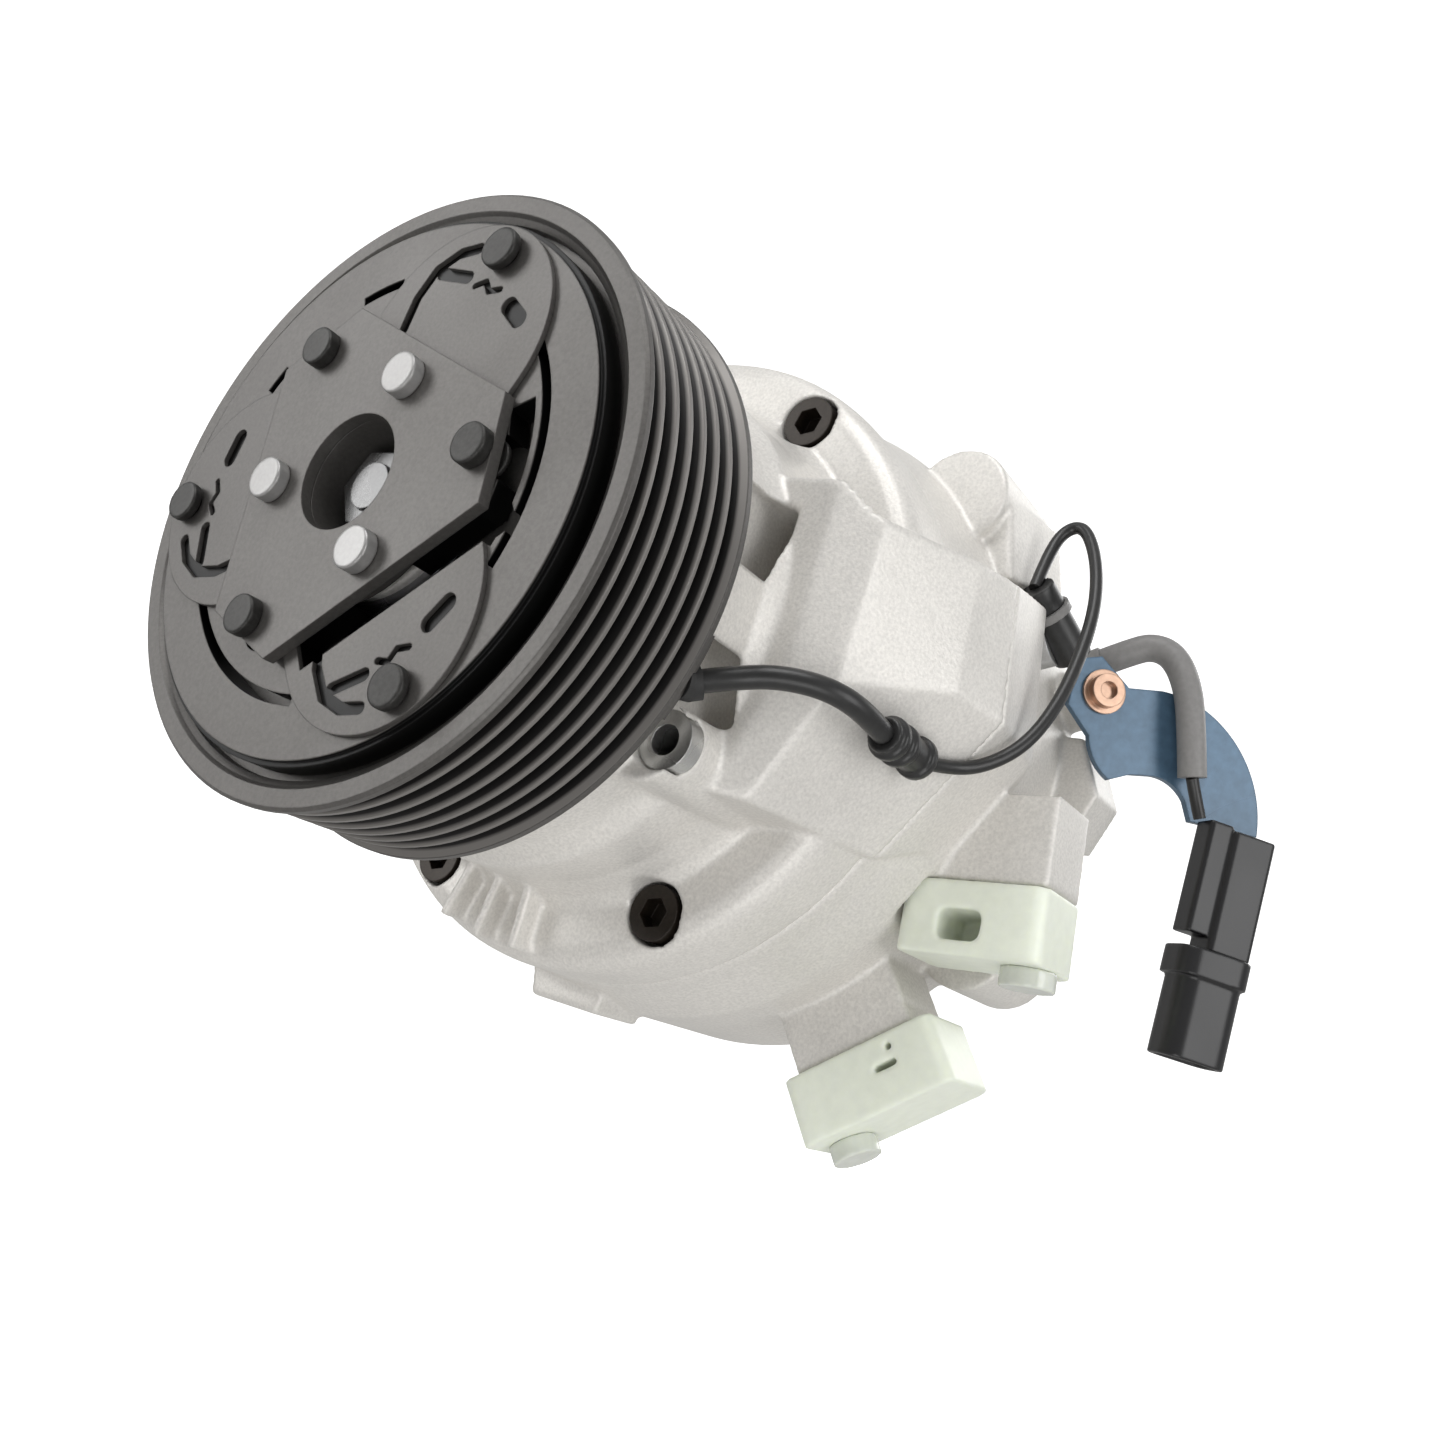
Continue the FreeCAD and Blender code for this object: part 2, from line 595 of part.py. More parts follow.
bolts = []
for deg in HOUSING_BOLT_DEGS:
    x, z = polar(BOLT_CIRCLE_R, deg)
    head = cyl(BOLT_HEAD_R, FLANGE_Y - 0.2, BOLT_SEAT_Y, x, z)
    head = head.fuse(cyl(BOLT_SHANK_R, BOLT_SEAT_Y, 96.0, x, z))
    head = head.cut(hexagon(5.0, FLANGE_Y - 1, FLANGE_Y + 3.2, x, z, 15.0))
    bolts.append(head.removeSplitter())
save("housing_bolts", group(bolts))

sleeve = ring(3.6, 2.6, 41.0, 62.0, *SLEEVE_AT).fuse(ring(5.0, 2.6, 37.6, 41.0, *SLEEVE_AT))
save("steel_sleeve", sleeve.removeSplitter())

# ---------------------------------------------------------------- shaft and pumping parts
crank = rev([
    (0, NUT_FACE_Y - 0.8), (3.95, NUT_FACE_Y - 0.8), (3.95, web1 + 0.2), (7.38, web1 + 0.2), (7.38, 13.4),
    (8.0, 14.4), (8.0, 50.4), (12.9, 50.4), (12.9, 64.4), (15.0, 64.4), (15.0, 67.4), (0, 67.4),
])
crank = crank.fuse(cyl(5.5, 67.4, 79.4, ORBIT_R, 0)).removeSplitter()
save("crankshaft", crank)
save("front_needle_bearing", ring(12.0, 8.03, 27.0, 37.4))
save("main_bearing_outer", ring(24.0, 20.6, 50.4, 62.6))
save("main_bearing_inner", ring(16.4, 12.9, 50.6, 62.4))
main_balls = []
for k in range(9):
    x, z = polar(18.5, 40.0 * k)
    main_balls.append(Part.makeSphere(2.0, V(x, 56.5, z)))
save("main_bearing_balls", group(main_balls))
save("shaft_seal", ring(13.2, 8.03, 15.4, 22.4))
seal_clip = ring(13.2, 11.8, 22.8, 24.0).cut(prism([(0, -3), (20, -4), (20, 4), (0, 3)], 22.0, 25.0))
save("seal_snap_ring", seal_clip)

weight = cyl(30.0, 67.6, 71.4).cut(prism([(-6, -40), (50, -40), (50, 40), (-6, 40)], 66.0, 73.0))
weight = weight.fuse(cyl(10.0, 67.6, 71.4, ORBIT_R, 0))
weight = weight.fuse(prism([(-8, -9), (4, -9), (4, 9), (-8, 9)], 67.6, 71.4))
weight = weight.cut(cyl(5.5, 66.0, 73.0, ORBIT_R, 0)).removeSplitter()
save("balance_weight", weight)
save("drive_bush", ring(9.6, 5.5, 71.4, 79.2, ORBIT_R, 0))

orbit_hub = ring(16.0, 13.0, 73.0, ORBIT_PLATE_Y[0], ORBIT_R, 0)
orbit = cyl(ORBIT_PLATE_R, *ORBIT_PLATE_Y, ORBIT_R, 0).fuse(orbit_hub)
orbit = orbit.fuse(wrap(ORBIT_PLATE_Y[1], WRAP_FLOOR_Y - WRAP_TIP_GAP, False, ORBIT_R))
orbit = orbit.removeSplitter()
save("orbiting_scroll", orbit)
save("orbit_bearing", ring(13.0, 9.65, 73.2, 79.4, ORBIT_R, 0))

fixed = cyl(50.3, WRAP_FLOOR_Y, 118.0)
fixed = fixed.fuse(ring(50.3, 48.4, ORBIT_PLATE_Y[1] + 0.4, WRAP_FLOOR_Y))
fixed = fixed.fuse(wrap(ORBIT_PLATE_Y[1] + WRAP_TIP_GAP, WRAP_FLOOR_Y, True))
fixed = fixed.cut(cyl(3.4, WRAP_FLOOR_Y - 1, 119.0, 0.0, 0.0)).removeSplitter()
save("fixed_scroll", fixed)
save("thrust_plate", ring(50.3, 22.0, 77.4, 79.7))
anti_pins = []
for k in range(4):
    x, z = polar(38.0, 45.0 + 90.0 * k)
    anti_pins.append(ring(6.0, 4.6, 72.0, 77.4, x, z))
save("anti_rotation_rings", group(anti_pins))
save("discharge_reed", prism([(-5, -5), (22, -5), (22, 5), (-5, 5)], 118.0, 118.5))
retainer = loft([
    (118.5, [(12, -5), (22, -5), (22, 5), (12, 5)]),
    (120.5, [(12, -5), (22, -5), (22, 5), (12, 5)]),
]).fuse(prism([(-5, -4.5), (13, -4.5), (13, 4.5), (-5, 4.5)], 121.0, 122.6))
retainer = retainer.fuse(prism([(11, -4.5), (14, -4.5), (14, 4.5), (11, 4.5)], 119.5, 122.6))
save("reed_retainer", retainer.removeSplitter())
reed_screw = cyl(3.2, 120.5, 123.0, 18.0, 0.0)
save("reed_screw", reed_screw)
save("seam_o_ring", Part.makeTorus(49.2, 0.75, V(0, SEAM_Y - 7.1, 0), AXIS))

# ---------------------------------------------------------------- port caps


def cap(port, out, along, face, hole, y0, y1, x0, x1, deep):
    """A pale plastic shipping cap that sits over a port face, with its plug and slot."""
    origin = (port[0], 0, port[2])
    shell = local_box(origin, along, out, x0, x1, y0, y1, face, face + deep)
    upright = [e for e in shell.Edges if abs(e.tangentAt(e.FirstParameter).y) < 0.1]
    corner = [e for e in upright if abs(e.Length - deep) < 0.01]
    shell = shell.makeFillet(2.4, corner)
    plug = port_cut(port, out, along, hole, face, 8.0, PORT_HOLE_R - 0.35)
    shell = shell.fuse(plug)
    return shell


CAP_A_DEEP = 13.5
CAP_B_DEEP = 13.0
CAP_GAP = 0.1
SCREW_R = 2.6


def cap_screw(port, out, along, shift, bottom, top, head_r, head_h):
    p = port_axis_point(port, out, along, shift, bottom)
    q = port_axis_point(port, out, along, shift, top)
    r = port_axis_point(port, out, along, shift, top + head_h)
    return rod(p, q, SCREW_R).fuse(rod(q, r, head_r)).removeSplitter()


def bored(shape, port, out, along, shift, face, deep):
    """A cap with the hole for its screw."""
    p = port_axis_point(port, out, along, shift, face - 9.0)
    q = port_axis_point(port, out, along, shift, face + deep + 1.0)
    return shape.cut(rod(p, q, SCREW_R + 0.15)).removeSplitter()


face_a = FACE_A + CAP_GAP
face_b = FACE_B + CAP_GAP
cap_a = cap(PORT_A, PORT_A_OUT, PORT_A_ALONG, face_a, HOLE_A, 97.6, 115.6, -15.4, 12.0, CAP_A_DEEP)
slot_a = local_box((PORT_A[0], 0, PORT_A[2]), PORT_A_ALONG, PORT_A_OUT, -7.6, 0.6, 96.0, 110.0, 6.8, 12.4)
slot_a = slot_a.makeFillet(1.6, [e for e in slot_a.Edges if abs(e.tangentAt(e.FirstParameter).y) > 0.9])
cap_a = bored(cap_a.cut(slot_a), PORT_A, PORT_A_OUT, PORT_A_ALONG, STUD_A, FACE_A, CAP_A_DEEP)
save("port_cap_a", cap_a)
cap_b = cap(PORT_B, PORT_B_OUT, PORT_B_ALONG, face_b, HOLE_B, 104.5, 122.5, -14.0, 18.0, CAP_B_DEEP)
b_at = (PORT_B[0], 0, PORT_B[2])
for x0, x1, z0, z1 in ((4.4, 8.0, 8.6, 9.8), (8.0, 9.2, 5.4, 9.8)):
    cap_b = cap_b.cut(local_box(b_at, PORT_B_ALONG, PORT_B_OUT, x0, x1, 103.0, 110.0, z0, z1))
cap_b = bored(cap_b, PORT_B, PORT_B_OUT, PORT_B_ALONG, STUD_B, FACE_B, CAP_B_DEEP)
save("port_cap_b", cap_b)
screw_a = cap_screw(PORT_A, PORT_A_OUT, PORT_A_ALONG, STUD_A, FACE_A - 7.0, face_a + CAP_A_DEEP, 5.0, 3.5)
screw_b = cap_screw(PORT_B, PORT_B_OUT, PORT_B_ALONG, STUD_B, FACE_B - 7.0, face_b + CAP_B_DEEP, 4.6, 3.5)
save("cap_screw_a", screw_a)
save("cap_screw_b", screw_b)

# ---------------------------------------------------------------- coil lead and switch lead
LEAD_D = 3.8
THIN_D = 2.4
lead_points = [
    (46.6, 34.0, -14.2), (50.2, 37.6, -11.8), (56.0, 40.2, -10.0),
    (62.2, 44.0, -9.6), (66.0, 50.0, -10.6), (66.4, 57.0, -12.0),
]
coil_lead = tube("coil_lead", lead_points, LEAD_D)
save("coil_lead", coil_lead)
grommet = rod((45.6, 33.0, -14.9), (46.6, 34.0, -14.2), 2.9)
grommet = grommet.fuse(rod((45.0, 31.2, -15.3), (45.6, 33.4, -14.9), 2.9))
save("coil_lead_grommet", grommet.cut(shell).cut(coil_lead))
splice_a = (66.4, 57.0, -12.0)
splice_b = (66.4, 71.0, -12.0)
splice = rod(splice_a, splice_b, 3.0)
ridge_dir = V(*splice_b) - V(*splice_a)
for f0, f1 in ((0.10, 0.22), (0.34, 0.46), (0.80, 0.92)):
    p = V(*splice_a) + ridge_dir * f0
    q = V(*splice_a) + ridge_dir * f1
    splice = splice.fuse(rod((p.x, p.y, p.z), (q.x, q.y, q.z), 3.7))
splice = splice.removeSplitter().cut(coil_lead)
switch_points = [
    (66.4, 71.0, -12.0), (68.6, 77.0, -11.0), (72.6, 81.6, -8.4), (76.6, 86.0, -2.6), (78.2, 90.6, 6.5),
    (78.0, 95.0, 17.0), (76.5, 99.5, 29.0), (72.6, 103.0, 40.0), (67.5, 105.4, 47.6), (63.6, 105.0, 46.0),
    (62.8, 102.8, 39.0), (63.5, 100.0, 31.8),
]
switch_lead = tube("switch_lead", switch_points, THIN_D)
save("switch_lead", switch_lead)
splice = splice.cut(switch_lead)
save("lead_splice", splice)

BOOT_A = (63.5, 100.0, 31.8)
BOOT_B = (69.0, 112.4, 23.2)
boot = rod(BOOT_A, BOOT_B, 3.7).cut(switch_lead)
along = V(*BOOT_B) - V(*BOOT_A)
p = V(*BOOT_A) + along * 0.30
q = V(*BOOT_A) + along * 0.40
switch_ring = rod((p.x, p.y, p.z), (q.x, q.y, q.z), 4.4).cut(boot)
save("switch_boot", boot)
save("switch_boot_ring", switch_ring)
can_p = V(*BOOT_A) + along * 0.72
can_x, can_z = can_p.x, can_p.z
can_n = math.hypot(can_x, can_z)
can_in = (can_x - 9.0 * can_x / can_n, can_p.y, can_z - 9.0 * can_z / can_n)
can_out = (can_x - 2.0 * can_x / can_n, can_p.y, can_z - 2.0 * can_z / can_n)
can = rod(can_in, can_out, 4.8).cut(boot).cut(switch_ring)
can = max(can.Solids, key=lambda one: one.Volume)
save("thermal_switch", can)

# ---------------------------------------------------------------- bracket and connector
BRACKET_AT = V(72.5, 122.0, 20.2)
BRACKET_ALONG = V(0.69, 0.72, 0).normalize()
BRACKET_FACING = V(0.72, -0.69, 0).normalize()
BRACKET_T = 1.6
UP = V(0, 0, 1)


def on_bracket(s, z, lift=0.0):
    """A point of the bracket's plane: s along it, z up from the origin's height."""
    return BRACKET_AT + BRACKET_ALONG * s + UP * (z - BRACKET_AT.z) + BRACKET_FACING * lift


outline = [
    (-6.5, 25.0), (-2.0, 27.0), (5.0, 22.8), (12.0, 24.6), (16.0, 24.8), (20.0, 24.4), (31.8, 17.6),
    (38.4, 3.0), (24.0, 1.5), (22.0, 5.0), (18.8, 7.2), (14.0, 7.6), (9.6, 6.4), (5.6, 4.0), (2.2, 6.2),
    (-0.6, 11.0), (-6.3, 15.6),
]
ARC_MIDDLES = (4, 6, 10, 14)
pts = [on_bracket(a, b) for a, b in outline]
edges = []
at = 0
while at < len(pts):
    if at + 1 in ARC_MIDDLES:
        edges.append(Part.Arc(pts[at], pts[at + 1], pts[(at + 2) % len(pts)]).toShape())
        at += 2
    else:
        edges.append(Part.LineSegment(pts[at], pts[(at + 1) % len(pts)]).toShape())
        at += 1
bracket = Part.Face(Part.Wire(edges)).extrude(BRACKET_FACING * -BRACKET_T)
bracket_hole = Part.makeCylinder(3.2, 12.0, on_bracket(0, 20.2, 6.0), BRACKET_FACING * -1)
bracket = bracket.cut(bracket_hole)
save("connector_bracket", bracket)
boss = Part.makeCylinder(6.0, 16.0, on_bracket(0, 20.2, -BRACKET_T), BRACKET_FACING * -1)
shank = Part.makeCylinder(2.9, 11.0, on_bracket(0, 20.2, 0.0), BRACKET_FACING * -1)
head = Part.makeCylinder(3.3, 2.6, on_bracket(0, 20.2, 0.0), BRACKET_FACING)
washer_face = Part.makeCylinder(4.4, 0.7, on_bracket(0, 20.2, 0.0), BRACKET_FACING)
socket = Part.makeCylinder(1.7, 1.4, on_bracket(0, 20.2, 1.3), BRACKET_FACING)
save("bracket_screw", shank.fuse(head).fuse(washer_face).removeSplitter().cut(socket))

CONN_AT = V(97.4, 142.6, -11.0)
CONN_ALONG = BRACKET_ALONG
CONN_FACING = BRACKET_FACING


def conn_box(s0, s1, f0, f1, z0, z1, fillet=0.0):
    """A box on the connector's axes: s along the bracket, f towards its face, z up."""
    corners = [(s0, f0), (s1, f0), (s1, f1), (s0, f1)]
    base = CONN_AT - UP * CONN_AT.z + UP * z0
    ring_pts = [base + CONN_ALONG * a + CONN_FACING * b for a, b in corners]
    out = Part.Face(Part.makePolygon(ring_pts + [ring_pts[0]])).extrude(UP * (z1 - z0))
    if fillet > 0:
        upright = [e for e in out.Edges if abs(e.tangentAt(e.FirstParameter).z) > 0.9]
        out = out.makeFillet(fillet, upright)
    return out


upper = conn_box(-2.6, 6.4, -4.0, 4.0, -22.6, 1.0, 1.0)
upper = upper.fuse(conn_box(-7.2, -2.2, -3.0, 3.0, -20.0, 1.8, 0.8))
save("connector_housing", upper)
lower = conn_box(-6.6, 6.6, -5.0, 5.0, -43.4, -22.6, 3.6)
lower = lower.fuse(conn_box(-7.6, 7.2, -5.6, 5.6, -28.0, -22.6, 3.6))
lower = lower.cut(conn_box(-5.4, 5.4, -3.8, 3.8, -44.0, -30.0, 2.6))
lower = lower.removeSplitter()
save("connector_shell", lower)
pin_a = conn_box(-3.2, -2.4, -0.4, 0.4, -39.0, -30.0)
pin_b = conn_box(2.4, 3.2, -0.4, 0.4, -39.0, -30.0)
save("connector_pins", group([pin_a, pin_b]))
clip = conn_box(-1.0, 5.0, -8.0, -4.0, -5.0, 1.0)
save("connector_clip", clip.cut(bracket))

SHEATH_D = 5.6
WIRE_D = 2.4
sheath_points = [
    (68.4, 128.4, 28.6), (72.6, 128.6, 31.0), (77.0, 129.6, 33.4), (81.6, 130.6, 32.0),
    (85.6, 131.0, 25.6), (88.0, 131.6, 16.8), (89.4, 133.6, 8.8),
]
connector_sheath = tube("connector_sheath", sheath_points, SHEATH_D)
wire_points = [(89.4, 133.6, 8.8), (90.4, 135.6, 5.2), (91.6, 136.9, 1.8)]
connector_wire = tube("connector_wire", wire_points, WIRE_D)
save("connector_wire", connector_wire)
connector_sheath = connector_sheath.cut(connector_wire)
save("connector_sheath", connector_sheath)
wire_boot = rod((66.0, 128.3, 27.2), (68.4, 128.4, 28.6), 3.2).cut(connector_sheath)
save("sheath_end", wire_boot)

# ---------------------------------------------------------------- finished housings
rear = rear.fuse(boss).cut(shank)
rear = rear.cut(rod(can_in, (can_x, can_p.y, can_z), 4.85)).cut(boot)
rear = rear.cut(rod((p.x, p.y, p.z), (q.x, q.y, q.z), 4.45))
rear = rear.cut(cyl(REAR_CAVITY_R, SEAM_Y - 1, 118.0)).cut(wire_boot)
a_at = (PORT_A[0], 0, PORT_A[2])
pocket = local_box(a_at, PORT_A_ALONG, PORT_A_OUT, -16.0, 12.6, 97.0, 116.2, FACE_A, 24.0)
rear = rear.cut(pocket)
front = front.cut(coil_lead).cut(splice).cut(grommet).cut(switch_lead)
save("front_housing", front)
save("rear_housing", rear)
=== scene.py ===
import itertools
import json
import math

import bmesh
import bpy
from mathutils import Matrix, Vector


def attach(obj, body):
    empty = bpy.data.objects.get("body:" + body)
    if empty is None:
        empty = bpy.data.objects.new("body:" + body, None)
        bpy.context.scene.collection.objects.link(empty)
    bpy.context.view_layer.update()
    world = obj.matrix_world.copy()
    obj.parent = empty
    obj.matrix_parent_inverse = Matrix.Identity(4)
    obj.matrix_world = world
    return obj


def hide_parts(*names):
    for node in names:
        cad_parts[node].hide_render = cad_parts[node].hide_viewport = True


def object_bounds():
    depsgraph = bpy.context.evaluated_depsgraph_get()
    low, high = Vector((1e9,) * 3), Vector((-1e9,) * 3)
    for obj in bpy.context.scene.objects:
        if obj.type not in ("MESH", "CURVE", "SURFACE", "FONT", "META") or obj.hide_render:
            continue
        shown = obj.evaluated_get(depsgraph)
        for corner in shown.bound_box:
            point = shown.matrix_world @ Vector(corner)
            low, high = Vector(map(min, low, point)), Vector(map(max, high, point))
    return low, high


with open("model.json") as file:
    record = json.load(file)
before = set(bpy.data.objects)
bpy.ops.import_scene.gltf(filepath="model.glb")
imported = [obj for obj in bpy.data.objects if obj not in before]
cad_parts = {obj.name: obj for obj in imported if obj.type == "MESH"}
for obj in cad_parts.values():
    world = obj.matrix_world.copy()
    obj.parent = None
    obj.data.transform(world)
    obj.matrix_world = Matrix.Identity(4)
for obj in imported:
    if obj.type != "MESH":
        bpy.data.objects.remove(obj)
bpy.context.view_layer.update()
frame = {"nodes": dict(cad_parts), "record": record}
nodes = frame["nodes"]

MM = 0.001
# The CAD counts its stations from the pulley's front rim, and the row's origin is the belt plane.
BELT_Y = 13.96
THIRD_DEG = 120.0
WHITE = (1.0, 1.0, 1.0)
OPAQUE_WHITE = (1.0, 1.0, 1.0, 1.0)


def at(x, y, z):
    """A point given in the CAD's own millimetres, in the row frame's metres."""
    return Vector((x, y - BELT_Y, z)) * MM


# ------------------------------------------------------------------ camera
SENSOR_MM = 36.0
LENS_MM = 34.9469
LENS_SHIFT = (-0.004346, 0.004907)
CAMERA_AT = (177.04, -127.81, -61.51)
CAMERA_RIGHT = Vector((0.79631, 0.52949, 0.292456))
CAMERA_UP = Vector((-0.124887, -0.329155, 0.935981))
CAMERA_BACK = Vector((0.591856, -0.781855, -0.195984))
NEAR_CLIP = 0.01
FAR_CLIP = 50.0


def place_camera():
    """The camera: low, in front of the pulley and to its right, looking up a little."""
    data = bpy.data.cameras.new("view")
    data.sensor_width = SENSOR_MM
    data.lens = LENS_MM
    data.shift_x, data.shift_y = LENS_SHIFT
    data.clip_start = NEAR_CLIP
    data.clip_end = FAR_CLIP
    camera = bpy.data.objects.new("view", data)
    turn = Matrix((CAMERA_RIGHT, CAMERA_UP, CAMERA_BACK)).transposed().to_4x4()
    camera.matrix_world = Matrix.Translation(at(*CAMERA_AT)) @ turn
    bpy.context.scene.collection.objects.link(camera)
    bpy.context.scene.camera = camera


place_camera()


# ------------------------------------------------------------------ materials
def tree(name):
    """A new material, its nodes, its links and its shader."""
    m = bpy.data.materials.new(name)
    m.use_nodes = True
    nt = m.node_tree
    return m, nt.nodes, nt.links, nt.nodes["Principled BSDF"]


def noise(ns, ls, coord, scale, detail=3.0, rough=0.55):
    """A noise texture's value at coord."""
    n = ns.new("ShaderNodeTexNoise")
    n.inputs["Scale"].default_value = scale
    n.inputs["Detail"].default_value = detail
    n.inputs["Roughness"].default_value = rough
    ls.new(coord, n.inputs["Vector"])
    return n.outputs["Fac"]


def ramp(ns, ls, fac, stops):
    """A colour from (position, colour) stops."""
    r = ns.new("ShaderNodeValToRGB")
    while len(r.color_ramp.elements) < len(stops):
        r.color_ramp.elements.new(0.5)
    for e, (pos, colour) in zip(r.color_ramp.elements, stops):
        e.position = pos
        e.color = (*colour, 1.0)
    ls.new(fac, r.inputs["Fac"])
    return r.outputs["Color"]


def mix(ns, ls, fac, a, b, kind="MIX"):
    """Colour b over colour a, by fac, which is a number or another node's value."""
    m = ns.new("ShaderNodeMix")
    m.data_type = "RGBA"
    m.blend_type = kind
    if isinstance(fac, float):
        m.inputs["Factor"].default_value = fac
    else:
        ls.new(fac, m.inputs["Factor"])
    ls.new(a, m.inputs["A"])
    ls.new(b, m.inputs["B"])
    return m.outputs["Result"]


def scaled(colour, k):
    """A colour, lighter or darker by the factor k."""
    return tuple(min(1.0, c * k) for c in colour)


def span(ns, ls, value, a, b, lo, hi):
    """value, moved from the range a to b onto lo to hi."""
    m = ns.new("ShaderNodeMapRange")
    m.inputs["From Min"].default_value = a
    m.inputs["From Max"].default_value = b
    m.inputs["To Min"].default_value = lo
    m.inputs["To Max"].default_value = hi
    ls.new(value, m.inputs["Value"])
    return m.outputs["Result"]


def calc(ns, ls, operation, a, b):
    """One step of arithmetic on node values or plain numbers."""
    n = ns.new("ShaderNodeMath")
    n.operation = operation
    for socket, value in zip(n.inputs, (a, b)):
        if isinstance(value, (int, float)):
            socket.default_value = value
        else:
            ls.new(value, socket)
    return n.outputs[0]


BEVEL_SAMPLES = 4
WIDE_DETAIL = 2.0
GRAINS_PER_BLOTCH = 45.0
GLOW_REACH = (0.004, 0.004, 0.003)
RING_SCALE = 5200.0
STEEL_GRAIN = 1600.0
STEEL_BLOTCH = 38.0


def bump(ns, ls, shader, height, strength, distance, edge):
    """A fine relief, and an edge that looks rounded to the radius edge."""
    b = ns.new("ShaderNodeBump")
    b.inputs["Strength"].default_value = strength
    b.inputs["Distance"].default_value = distance
    ls.new(height, b.inputs["Height"])
    v = ns.new("ShaderNodeBevel")
    v.samples = BEVEL_SAMPLES
    v.inputs["Radius"].default_value = edge
    ls.new(v.outputs["Normal"], b.inputs["Normal"])
    ls.new(b.outputs["Normal"], shader.inputs["Normal"])


def finish_of(name, colour, metal, rough, grain=2200.0, speck=0.06, blotch=0.05, relief=0.15,
              depth=0.00008, edge=0.0003, coat=0.0, spread=0.06, glow=0.0):
    """A material with a grained colour, an uneven gloss and a fine relief.
    glow is how much light passes through its surface, as in a thin plastic."""
    m, ns, ls, sh = tree(name)
    coord = ns.new("ShaderNodeTexCoord").outputs["Object"]
    fine = noise(ns, ls, coord, grain)
    wide = noise(ns, ls, coord, grain / GRAINS_PER_BLOTCH, WIDE_DETAIL)
    tint = ramp(ns, ls, fine, [(0.3, scaled(colour, 1.0 - speck)), (0.7, scaled(colour, 1.0 + speck))])
    soft = ramp(ns, ls, wide, [(0.3, (1.0 - blotch,) * 3), (0.7, WHITE)])
    ls.new(mix(ns, ls, 1.0, tint, soft, "MULTIPLY"), sh.inputs["Base Color"])
    ls.new(span(ns, ls, wide, 0.3, 0.7, rough - spread, rough + spread), sh.inputs["Roughness"])
    sh.inputs["Metallic"].default_value = metal
    sh.inputs["Coat Weight"].default_value = coat
    if glow > 0:
        sh.inputs["Subsurface Weight"].default_value = glow
        sh.inputs["Subsurface Radius"].default_value = GLOW_REACH
    bump(ns, ls, sh, fine, relief, depth, edge)
    return m


FINISHES = {
    "cast_aluminium": dict(
        colour=(0.72, 0.70, 0.665), metal=0.3, rough=0.46, grain=1700.0,
        speck=0.10, blotch=0.08, relief=0.35, depth=0.0002, edge=0.0008,
    ),
    "dark_rivet": dict(
        colour=(0.036, 0.035, 0.033), metal=0.6, rough=0.42,
        grain=1500.0, speck=0.2, blotch=0.2,
    ),
    "bright_rivet": dict(
        colour=(0.34, 0.335, 0.33), metal=0.6, rough=0.38,
        grain=1500.0, speck=0.05, blotch=0.1,
    ),
    "black_bolt": dict(
        colour=(0.024, 0.018, 0.013), metal=0.5, rough=0.34,
        grain=1500.0, speck=0.2, blotch=0.2,
    ),
    "bearing_steel": dict(colour=(0.55, 0.55, 0.54), metal=0.9, rough=0.28),
    "spring_steel": dict(colour=(0.25, 0.25, 0.27), metal=0.9, rough=0.3),
    "machined_steel": dict(colour=(0.30, 0.30, 0.30), metal=0.9, rough=0.3),
    # Steel painted darker than machined steel: painted shade for the inside of the hub's hole.
    "hole_shade_steel": dict(colour=(0.16, 0.16, 0.16), metal=0.9, rough=0.26),
    "scroll_aluminium": dict(colour=(0.66, 0.66, 0.66), metal=0.85, rough=0.35),
    "copper_winding": dict(colour=(0.55, 0.24, 0.09), metal=0.8, rough=0.35),
    "potting_resin": dict(colour=(0.05, 0.04, 0.03), metal=0.0, rough=0.5),
    "seal_rubber": dict(colour=(0.015, 0.015, 0.015), metal=0.0, rough=0.55),
    "lead_rubber": dict(
        colour=(0.014, 0.014, 0.014), metal=0.0, rough=0.36, grain=900.0,
        speck=0.2, blotch=0.2, relief=0.2, depth=0.0001,
    ),
    "grey_rubber": dict(
        colour=(0.22, 0.215, 0.21), metal=0.0, rough=0.5, grain=900.0,
        speck=0.08, blotch=0.1, relief=0.2, depth=0.0001,
    ),
    "switch_can": dict(colour=(0.55, 0.55, 0.55), metal=0.8, rough=0.35),
    "blue_bracket": dict(
        colour=(0.085, 0.155, 0.235), metal=0.2, rough=0.3, grain=500.0,
        speck=0.12, blotch=0.35, relief=0.1, depth=0.0001, edge=0.0004,
    ),
    "gold_screw": dict(colour=(0.50, 0.33, 0.24), metal=0.85, rough=0.32, grain=900.0, speck=0.1, blotch=0.2),
    "connector_plastic": dict(
        colour=(0.007, 0.007, 0.008), metal=0.0, rough=0.34, grain=1300.0,
        speck=0.1, blotch=0.1, relief=0.2, depth=0.00005,
    ),
    "pin_metal": dict(colour=(0.7, 0.62, 0.4), metal=0.9, rough=0.3),
    "cap_plastic": dict(
        colour=(0.84, 0.88, 0.77), metal=0.0, rough=0.4, grain=400.0,
        speck=0.03, blotch=0.06, relief=0.1, depth=0.0001, edge=0.0008, spread=0.05, glow=0.5,
    ),
    "clear_screw": dict(
        colour=(0.70, 0.73, 0.66), metal=0.0, rough=0.18, grain=400.0,
        speck=0.05, blotch=0.1, relief=0.1, depth=0.0001, edge=0.0004, coat=0.3, spread=0.05, glow=0.5,
    ),
}
LOOK = {name: finish_of(name, **facts) for name, facts in FINISHES.items()}
